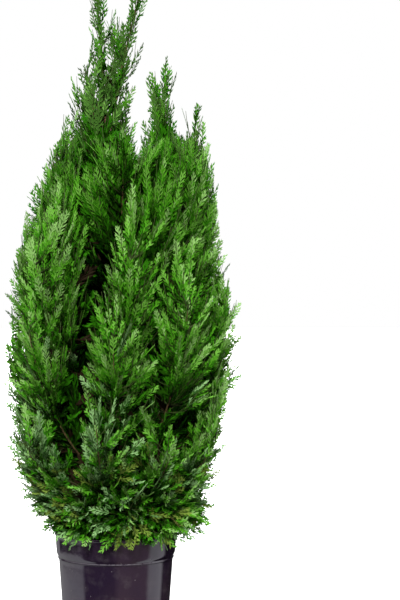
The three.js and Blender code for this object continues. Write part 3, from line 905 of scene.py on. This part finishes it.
def shoot(number, height, middle, radius, depth, spots, own):
    """A shoot that ends at its own place on the outline and comes from the best wood within reach.
    Returns the shoot and the number of the spot that it grows from, or nothing."""
    azimuth = 2 * math.pi * number * GOLDEN_SHARE
    out = np.array([math.cos(azimuth), math.sin(azimuth), 0.0])
    radius = max(SHOOT_INMOST * radius, radius - depth * chance(number, 1) ** SHOOT_CROWDING)
    ragged = jitter(number, 2, min(CROWN_RAGGED, RAGGED_SHARE * radius))
    tip = np.array([middle, 0.0, height]) + out * (radius + ragged)
    tilt = np.interp(height, SHOOT_TILT_HEIGHTS, SHOOT_TILTS) + jitter(number, 3, TILT_JITTER)
    aside = turned(out, np.cross(UP, out), jitter(number, 4, SHOOT_TURN))
    heading = turned(UP, aside, tilt)
    paths = tip - spots
    lengths = np.linalg.norm(paths, axis=1)
    forward = (paths @ heading) / lengths
    straight = np.interp(height, *SHOOT_STRAIGHT)
    fit = own & (lengths > SHOOT_LENGTHS[0]) & (lengths < SHOOT_LENGTHS[1]) & (forward > straight)
    if not fit.any():
        return None
    costs = np.where(fit, lengths * (SLANT_COST - forward), np.inf)
    best = int(costs.argmin())
    bend = tip - heading * lengths[best] * SHOOT_BOW
    flat = np.cross(heading, out)
    across = turned(unit(flat), unit(np.cross(heading, flat)), jitter(number, 5, FEATHER_ROLL))
    leafy = np.interp(height, LOW_ZONE, SHOOT_LEAFY) * (1 + jitter(number, 6, LEAFY_JITTER))
    bare = max(np.interp(forward[best], SHOOT_SLANTS, SHOOT_BARES), 1 - leafy / lengths[best])
    feather = Feather(spots[best], bend, tip, across, number, bare)
    return (feather, best) if feather.clear(-SHOOT_PROUD) else None


wood = []
for index, plume in enumerate(plumes):
    number = PLUME_NUMBERS * index
    stem = (along(plume, FIRST_FEATHER), along(plume, LAST_FEATHER))
    limb = (BARE_SHARE * plume["start"], plume["start"])
    plume["feathers"] = [
        *feathers_on(plume, stem, FEATHER_FAN, number),
        *feathers_on(plume, limb, math.pi, number + LIMB_NUMBERS),
        last_feather(plume, number + END_NUMBER),
    ]
    lowest = WOOD_START * plume["start"] + WOOD_MARGINS[0]
    wood += [(plume, t) for t in np.linspace(lowest, plume["end"] - WOOD_MARGINS[1], WOOD_SPOTS)]
spots = np.array([plume["line"].at(t) for plume, t in wood])
for where, shoots in SHOOTS.items():
    lowest, highest = shoots["heights"]
    own = np.array([any(name in plume["node"] for name in shoots["wood"]) for plume, t in wood])
    for i in range(shoots["count"]):
        height = lowest + (highest - lowest) * ((i + 0.5) / shoots["count"]) ** shoots["crowding"]
        middle, radius = outline_at(OUTLINES[where], height)
        grown = shoot(shoots["first"] + i, height, middle, radius, shoots["depth"], spots, own)
        if grown:
            feather, best = grown
            wood[best][0]["feathers"].append(feather)


def twig(feather):
    shares = np.linspace(0, TWIG_END, TWIG_STEPS + 1)
    frames = [feather.frame(t) for t in shares]
    radii = np.linspace(TWIG_RADIUS, TWIG_TIP_RADIUS, TWIG_STEPS + 1)[:, None] * np.ones(TWIG_SIDES)
    across = np.array([spread for heading, spread, face in frames])
    lifts = np.array([face for heading, spread, face in frames])
    return tube(feather.at(shares), across, lifts, radii)


def twig_finish():
    """Young wood, brown with a breath of green."""
    return new_finish("twig", Specular_IOR_Level=0.3, Base_Color=TWIG_BROWN, Roughness=0.7)[0]


twig_wood = twig_finish()
for tier in TIERS:
    twigs = [twig(feather) for plume in plumes if plume["tier"] == tier for feather in plume["feathers"]]
    places, faces = joined(twigs)
    piece = new_piece("twigs_" + tier, places, faces, twig_wood, smooth=True)
    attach(piece, "root")
    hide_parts(*nodes_of(tier))


# Leaves: scale leaves that hide the finest twigs, drawn as keeled blades in flat fronds on the feathers.
# Each frond has fingers to either side in turn. Its green is dealt out by frond, darker at its foot as
# painted shade and mostly lighter at its ends, fresher growth with a painted highlight. Fronds deeper in
# the crown take darker greens, as painted shade.
FROND_LENGTHS = (0.022, 0.034, 0.048, 0.064, 0.084)
FROND_MOST = 0.092
FROND_VARIANTS = 3
FROND_SCALES = {"skirt": 1.15, "low": 1.1, "middle": 1.0, "shoulder": 1.0, "spires": 1.2}
FROND_STEP = 0.0135
OPEN_STEP = 2.3
FROND_ANGLES = np.radians([28, 16])
ANGLE_JITTER = 0.3
FROND_SHARES = (0.48, 0.29)
SHARE_JITTER = 0.15
FROND_END_SHARE = 0.10
FROND_LAST = 0.62
FROND_TILT = 0.6
FROND_UPWARD = 0.5
FROND_DROOP = 0.06
FINGER_STEP = 0.0037
FINGERS_LEAST = 3
FIRST_FINGER = 0.06
FINGERED = 0.86
FINGER_ANGLE = math.radians(33)
FINGER_CLOSING = 0.16
FINGER_SWAY = 0.12
FINGER_GROWTH = 0.36
FINGER_LEAST = 0.0050
FINGER_MOST = 0.0148
FINGER_FOOT = 0.6
FINGER_OPENING = 2
FINGER_JITTER = 0.2
FOOT_ZONE = 0.25
END_ZONE = 0.5
BLADE_WIDTH = 0.0030
BLADE_WIDEST = 0.52
BLADE_KEEL = 0.3
SIDE_ANGLE = math.radians(26)
SIDE_SHARE = 0.55
SIDE_FOOT = 0.3
SIDE_WIDTH = 0.85
SIDE_LOT = 0.5
OUTER_LOT = 0.6
AXIS_BLADES = ((0.0, "foot"), (0.3, "ends"), (0.6, "ends"))
AXIS_SHARE = 0.4
AXIS_WIDTH = 0.8
INNER_DEPTH = 0.070
INNER_SCALE = 2.2
INNER_RATE = 270
INNER_STRETCH = (0.06, 0.7)
INNER_LEAN = 0.9
INNER_SWAY = 0.35
INNER_LENGTHS = (0.050, 0.090)
INNER_SHORT = 0.5
INNER_TESTED = (0.5, 1)
INNER_LEAST = 0.03
INNER_BROWN = 0.4
BARE_LEAST = 0.3
BARE_SPOTS = (0.5, 0.85)
BARE_LEAN = 0.7
# Painted shade: fronds deeper in the crown than these, or at a feather's foot, take a darker green; further
# out some take a lighter one, fresher growth with a painted highlight
SHADED_DEPTH = 0.058
SHADE_DEPTHS = (0.038, 0.024)
LIGHTER_LOTS = (0.52, 0.36)
LIGHTER_FROM = 0.4
DARKER_TO = 0.1
WISP_LOT = 0.75
DEEP_LOT = 0.15
MID_LOT = 0.65
LEFT_REACH = 0.12
LEFT_BLUE = 0.5
BLUE_LOTS = ([0.18, 0.24, 0.34, 0.60], [0.18, 0.38, 0.42, 0.0])
OLIVE_LOTS = ([0.18, 0.22, 0.32, 0.42], [0.18, 0.18, 0.12, 0.0])
# Each tint's colour, the tint that stands for it in deeper painted shade, and the one for a frond's ends,
# mostly lighter: fresher growth with a painted highlight. The shaded tint is the near-black green of
# painted shade
TINTS = {
    "shaded": ((0.0052, 0.024, 0.0008), "shaded", "deep"),
    "deep": ((0.014, 0.082, 0.002), "shaded", "mid"),
    "mid": ((0.039, 0.148, 0.007), "deep", "fresh"),
    "fresh": ((0.074, 0.194, 0.024), "mid", "bright"),
    "bright": ((0.122, 0.230, 0.062), "fresh", "bright"),
    "deep_blue": ((0.022, 0.066, 0.013), "shaded", "blue"),
    "blue": ((0.070, 0.146, 0.044), "deep_blue", "pale_blue"),
    "pale_blue": ((0.130, 0.236, 0.088), "blue", "pale_blue"),
    "deep_olive": ((0.034, 0.054, 0.008), "shaded", "olive"),
    "olive": ((0.082, 0.126, 0.018), "deep_olive", "olive"),
    "wisp": ((0.070, 0.162, 0.028), "wisp_end", "wisp_end"),
    "wisp_end": ((0.034, 0.090, 0.013), "wisp_end", "wisp_end"),
    "brown": ((0.009, 0.006, 0.003), "brown", "brown"),
}
DARKER = {tint: darker for tint, (colour, darker, lighter) in TINTS.items()}
LIGHTER = {tint: lighter for tint, (colour, darker, lighter) in TINTS.items()}
# A frond's foot takes the darker green as painted shade, its ends the one for ends, mostly lighter: fresher
# growth with a painted highlight
ZONES = {"foot": DARKER, "body": {tint: tint for tint in TINTS}, "ends": LIGHTER}


def blade(root, angle, length, width):
    """Four corners of one keeled blade in a frond's plane: root, side, tip, side."""
    ahead = np.array([math.cos(angle), math.sin(angle), 0.0])
    beside = np.array([-math.sin(angle), math.cos(angle), 0.0]) * width / 2
    belly = root + ahead * length * BLADE_WIDEST - UP * BLADE_KEEL * width
    return [root, belly - beside, root + ahead * length, belly + beside]


def frond_shape(length, seed, scale):
    """The blades of one frond lying along X: its axis, its fingers and the blades beside them, by zone.
    A scale over 1 makes fewer and larger blades."""
    blades = {zone: [] for zone in ZONES}
    inner = scale == INNER_SCALE
    width = BLADE_WIDTH * (scale if inner else 1)
    fuller = scale ** 0.5
    fingers = max(FINGERS_LEAST, round(FINGERED * length / (scale * FINGER_STEP)))
    for i in range(fingers):
        share = FIRST_FINGER + FINGERED * i / fingers
        side = 1 if i % 2 else -1
        angle = side * (FINGER_ANGLE / fuller - FINGER_CLOSING * share + jitter(seed, i, FINGER_SWAY))
        full = min(FINGER_MOST * fuller, FINGER_LEAST + FINGER_GROWTH * (1 - share) * length) * fuller
        size = full * min(1, FINGER_FOOT + FINGER_OPENING * share)
        size *= 1 + jitter(seed, 40 + i, FINGER_JITTER)
        root = np.array([share * length, 0.0, 0.0])
        zone = "foot" if share < FOOT_ZONE else "body"
        blades["ends" if share > END_ZONE else zone].append(blade(root, angle, size, width))
        if not inner and chance(seed, 80 + i) < SIDE_LOT:
            turn = SIDE_ANGLE * (1 if chance(seed, 120 + i) < OUTER_LOT else -1) * side
            foot = root + np.array([math.cos(angle), math.sin(angle), 0.0]) * SIDE_FOOT * size
            blades[zone].append(blade(foot, angle + turn, SIDE_SHARE * size, width * SIDE_WIDTH))
    for share, zone in AXIS_BLADES:
        root = np.array([share * length, 0.0, 0.0])
        blades[zone].append(blade(root, 0.0, AXIS_SHARE * length, width * AXIS_WIDTH))
    corners = {zone: np.array(found).reshape(-1, 3) for zone, found in blades.items()}
    for found in corners.values():
        found[:, 2] -= FROND_DROOP * found[:, 0] ** 2 / length
    return corners


frond_shapes = {
    (size, variant, scale): frond_shape(length, 10 * size + variant, scale)
    for size, length in enumerate(FROND_LENGTHS)
    for variant in range(FROND_VARIANTS)
    for scale in {INNER_SCALE, *FROND_SCALES.values()}
}


def frond_tint(feather, share, depth, draw):
    """The green of a frond: by its feather, its place on it and how deep in the crown it is. Depth in the
    crown and the feather's foot darken it as painted shade; further out it may take a lighter green,
    fresher growth with a painted highlight.
    """
    # Painted shade: deep in the crown a frond takes the near-black shaded green
    if depth > SHADED_DEPTH:
        return "shaded"
    lot, hue_lot = chance(feather.number, 7), chance(feather.number, 8)
    height = feather.tip[2]
    leftness = min(1.0, max(-1.0, -feather.tip[0] / LEFT_REACH))
    blue_lot = np.interp(height, *BLUE_LOTS) * (1 + LEFT_BLUE * leftness)
    olive_lot = blue_lot + np.interp(height, *OLIVE_LOTS)
    if height > CROWN_OPEN:
        tint = "wisp" if lot < WISP_LOT else "mid"
    elif hue_lot < blue_lot:
        tint = "blue"
    elif hue_lot < olive_lot:
        tint = "olive"
    elif lot < DEEP_LOT:
        tint = "deep"
    elif lot < MID_LOT:
        tint = "mid"
    else:
        tint = "fresh"
    # Painted shade: a frond less deep takes the next darker green
    if depth > np.interp(height, LOW_ZONE, SHADE_DEPTHS):
        tint = DARKER[tint]
    lighter_lot = np.interp(height, LOW_ZONE, LIGHTER_LOTS)
    # Painted shade at the feather's foot; further out some fronds take the lighter green, fresher growth
    # with a painted highlight
    if share < DARKER_TO:
        tint = DARKER[tint]
    elif share > LIGHTER_FROM and chance(feather.number, draw) < lighter_lot:
        tint = LIGHTER[tint]
    return tint


fronds = {}


def add_frond(tier, tint, inner, root, direction, across, length, lot):
    """Books a frond's zones for the pieces of its tier and of the tint of each zone."""
    size = int(np.abs(np.array(FROND_LENGTHS) - length).argmin())
    shape = (size, int(lot * FROND_VARIANTS), INNER_SCALE if inner else FROND_SCALES[tier])
    place = np.array([direction, across, np.cross(direction, across)]) * length / FROND_LENGTHS[size]
    for zone, tint_in in ZONES.items():
        fronds.setdefault((tier, tint_in[tint]), []).append((shape, zone, root, place))


def clothe(tier, feather):
    """Fronds to either side of a feather in turn, and one that carries it on to its tip."""
    number, height = feather.number, feather.tip[2]
    leafy = (1 - feather.bare) * feather.length
    frond_angle = np.interp(height, LOW_ZONE, FROND_ANGLES)
    frond_share = np.interp(height, LOW_ZONE, FROND_SHARES)
    step = FROND_STEP * (OPEN_STEP if height > CROWN_OPEN else 1)
    count = max(2, round(FROND_LAST * leafy / step))
    for j in range(count + 1):
        part = FROND_LAST * j / count
        share = feather.bare + (1 - feather.bare) * (part if j < count else 1 - FROND_LAST)
        heading, spread, face = feather.frame(share)
        direction, across = heading, spread
        length = FROND_LAST * leafy
        if j < count:
            outward = turned(spread * (1 if j % 2 else -1), face, jitter(number, 20 + j, FROND_TILT))
            angle = frond_angle * (1 + jitter(number, 120 + j, ANGLE_JITTER))
            direction = unit(turned(heading, outward, angle) + FROND_UPWARD * UPWARD[tier] * UP)
            across = unit(outward - direction * (outward @ direction))
            across = turned(across, np.cross(direction, across), jitter(number, 220 + j, FROND_TILT))
            length = leafy * (FROND_END_SHARE + frond_share * (1 - part))
            length *= 1 + jitter(number, 320 + j, SHARE_JITTER)
        root = feather.at(share)
        depth = depth_in_crown(root)
        tint = frond_tint(feather, part, depth, 500 + j)
        length = min(length, FROND_MOST)
        add_frond(tier, tint, depth > INNER_DEPTH, root, direction, across, length, chance(number, 400 + j))


def add_inner(tier, root, direction, across, lengths, tint_lot, shape_lot):
    """Books a dark frond at the first of some lengths that keeps it inside the crown, if one does: a brown
    old one, or one in the near-black green of painted shade.
    """
    for length in lengths:
        if all(in_crown(root + direction * length * share, INNER_LEAST) for share in INNER_TESTED):
            # Brown for an old frond, else the near-black shaded green of painted shade
            tint = "brown" if tint_lot < INNER_BROWN else "shaded"
            add_frond(tier, tint, True, root, direction, across, length, shape_lot)
            return


def inner_length(lot):
    return INNER_LENGTHS[0] + (INNER_LENGTHS[1] - INNER_LENGTHS[0]) * lot


def clothe_inside(plume, number):
    """Dark fronds straight on the wood, all round it, that close the inside of the crown: brown old ones,
    and others in the near-black green of painted shade.
    """
    line = plume["line"]
    start, end = (0.0, plume["start"]) if plume["start"] > 0 else INNER_STRETCH
    count = round(INNER_RATE * line.length(start, end))
    first_turn = chance(number, 93)
    for k in range(count):
        t = start + (end - start) * (k + 0.5) / count
        turn = 2 * math.pi * ((k * GOLDEN_SHARE + first_turn) % 1)
        radial = turned(line.lift(t), line.side, turn)
        direction = turned(line.ahead(t), radial, INNER_LEAN + jitter(number + k, 4, INNER_SWAY))
        across = np.cross(line.ahead(t), radial)
        across = turned(across, np.cross(direction, across), jitter(number + k, 5, FEATHER_ROLL))
        full = inner_length(chance(number + k, 6))
        lots = (chance(number + k, 10), chance(number + k, 9))
        add_inner(plume["tier"], line.at(t), direction, across, (full, INNER_SHORT * full), *lots)


def clothe_bare(tier, feather):
    """Dark fronds on the bare foot of a long shoot, where it is deep enough in the crown: brown old ones,
    and others in the near-black green of painted shade.
    """
    number = feather.number
    for k, share in enumerate(BARE_SPOTS):
        heading, spread, face = feather.frame(share * feather.bare)
        radial = turned(spread, face, 2 * math.pi * chance(number, 600 + k))
        direction = turned(heading, radial, BARE_LEAN + jitter(number, 610 + k, INNER_SWAY))
        across = np.cross(heading, radial)
        full = inner_length(chance(number, 620 + k))
        lots = (chance(number, 640 + k), chance(number, 630 + k))
        add_inner(tier, feather.at(share * feather.bare), direction, across, (full,), *lots)


for index, plume in enumerate(plumes):
    clothe_inside(plume, PLUME_NUMBERS * index)
    for feather in plume["feathers"]:
        clothe(plume["tier"], feather)
        if feather.bare > BARE_LEAST:
            clothe_bare(plume["tier"], feather)


def leaf_finish(name, colour):
    """A plain green of scale leaves with a soft wax shine."""
    return new_finish("leaf_" + name, Base_Color=colour, Roughness=0.6, Specular_IOR_Level=0.04)[0]


def leaf_places(placed):
    """The corners of the blades of many fronds, those of one shape and zone placed together."""
    placed = sorted(placed, key=lambda frond: frond[:2])
    for (shape, zone), alike in itertools.groupby(placed, key=lambda frond: frond[:2]):
        alike = list(alike)
        roots = np.array([root for *_, root, place in alike])
        turns = np.array([place for *_, place in alike])
        yield (roots[:, None] + np.einsum("bc,pcd->pbd", frond_shapes[shape][zone], turns)).reshape(-1, 3)


leaf_greens = {tint: leaf_finish(tint, colour) for tint, (colour, darker, lighter) in TINTS.items()}
for (tier, tint), placed in fronds.items():
    places = np.concatenate(list(leaf_places(placed)))
    starts = np.arange(0, len(places), 4)[:, None]
    faces = np.concatenate([starts + [0, 1, 2], starts + [0, 2, 3]])
    piece = new_piece(f"leaves_{tier}_{tint}", places, faces, leaf_greens[tint])
    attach(piece, "root")
    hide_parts(*nodes_of(tier))
    "foliage_deep" if tier in ("skirt", "low") else "foliage"


# Studio: a plain pale floor and five soft suns, a key and a fill in front, one at each side and one behind.
# The gloss mirrors a ring of pale and dim walls under a bright ceiling. The camera stands level in front
# of the plant, at the photograph's distance.
FLOOR_SIZE = 60.0
FLOOR_WHITE = (0.86, 0.86, 0.86)
LIGHTS = {
    "key": dict(place=(-0.20, -1.9, 1.35), spread=14, power=8.0),
    "fill": dict(place=(0.8, -1.9, 0.9), spread=25, power=1.9),
    "left": dict(place=(-1.6, 1.3, 1.3), spread=60, power=3.4),
    "right": dict(place=(1.6, 1.3, 1.3), spread=60, power=3.4),
    "back": dict(place=(0.2, 2.0, 1.5), spread=60, power=3.0),
}
CAMERA_PLACE = (0.1536, -2.8, 0.622)
CAMERA_LENS = 91.9
DIM = (0.06, 0.05, 0.08)
WARM = (0.48, 0.34, 0.40)
GREY = (0.32, 0.32, 0.33)
WHITE = (1.5, 1.5, 1.6)
BLACK = (0.01, 0.01, 0.012)
# The walls by their turn, in shares of a circle: 0 behind the plant, 0.25 at its left, 0.5 at the camera
WALLS = [(0.0, GREY), (1.0, GREY), (0.07, GREY), (0.28, WHITE), (0.305, WHITE), (0.325, DIM), (0.490, DIM),
         (0.530, WARM), (0.690, WARM), (0.712, WHITE), (0.80, WHITE), (0.825, BLACK), (0.95, BLACK)]
# The left wall is dim above a slanting edge
EDGE_HEIGHT = -0.268
EDGE_SLOPE = 0.36
EDGE_MIDDLE = 0.25
EDGE_SOFT = 0.012
EDGE_TURNS = (0.125, 0.5)
CEILING = (4.0, 4.0, 4.0)
CEILING_HEIGHTS = (0.25, 0.8)
SKY_LOW = (0.14, 0.14, 0.14)
SKY_HIGH = (0.80, 0.80, 0.80)
SKY_HEIGHTS = (-0.1, 0.9)
BACKDROP = (1.0, 1.0, 1.0)


def floor_finish():
    """Plain pale paint, matt all over."""
    return new_finish("floor", Base_Color=FLOOR_WHITE, Roughness=0.9, Specular_IOR_Level=0.0)[0]


half = FLOOR_SIZE / 2
floor_corners = [(-half, -half, 0), (half, -half, 0), (half, half, 0), (-half, half, 0)]
floor = new_piece("floor", floor_corners, [[0, 1, 2, 3]], floor_finish())
floor.visible_glossy = False
floor.visible_diffuse = False


def studio_world():
    """White to the camera, the walls and the ceiling to gloss, and a soft sky to the matt surfaces."""
    world = bpy.data.worlds.new("studio")
    world.use_nodes = True
    world.node_tree.nodes.clear()
    wire = Wire(world.node_tree)
    direction = wire.node("TexCoord", {}, {})
    x, y, z = (wire.node("SeparateXYZ", {}, {0: direction}, output=i) for i in range(3))
    turn = x.maths("ARCTAN2", x, 0 - y) * (1 / (2 * math.pi)) + 0.5
    stops = [(place, (*colour, 1.0)) for place, colour in WALLS]
    walls = wire.node("ValToRGB", {"stops": stops}, {0: turn})
    above = (z - EDGE_HEIGHT - EDGE_SLOPE * (EDGE_MIDDLE - turn)).between(0, EDGE_SOFT)
    dimmed = (above * (turn < EDGE_TURNS[1]) * (turn > EDGE_TURNS[0])).mixed(walls, DIM)
    shine = z.between(*CEILING_HEIGHTS).mixed(dimmed, CEILING)
    soft = z.between(*SKY_HEIGHTS).mixed(SKY_LOW, SKY_HIGH)
    light = wire.node("LightPath", {}, {}, output=2).mixed(shine, soft)
    seen = wire.node("LightPath", {}, {}).mixed(light, BACKDROP)
    background = wire.node("Background", {}, {"Color": seen, "Strength": 1.0})
    wire.node("OutputWorld", {}, {"Surface": background})
    return world


bpy.context.scene.world = studio_world()
for name, light in LIGHTS.items():
    lamp = bpy.data.lights.new(name, "SUN")
    lamp.angle = math.radians(light["spread"])
    lamp.energy = light["power"]
    holder = bpy.data.objects.new(name, lamp)
    holder.location = light["place"]
    holder.rotation_euler = (-holder.location).to_track_quat("-Z", "Y").to_euler()
    holder.visible_glossy = False
    bpy.context.scene.collection.objects.link(holder)

camera = bpy.data.objects.new("camera", bpy.data.cameras.new("camera"))
camera.data.lens = CAMERA_LENS
camera.location = CAMERA_PLACE
camera.rotation_euler = (math.pi / 2, 0, 0)
bpy.context.scene.collection.objects.link(camera)
bpy.context.scene.camera = camera
bpy.context.scene.view_settings.view_transform = "Standard"
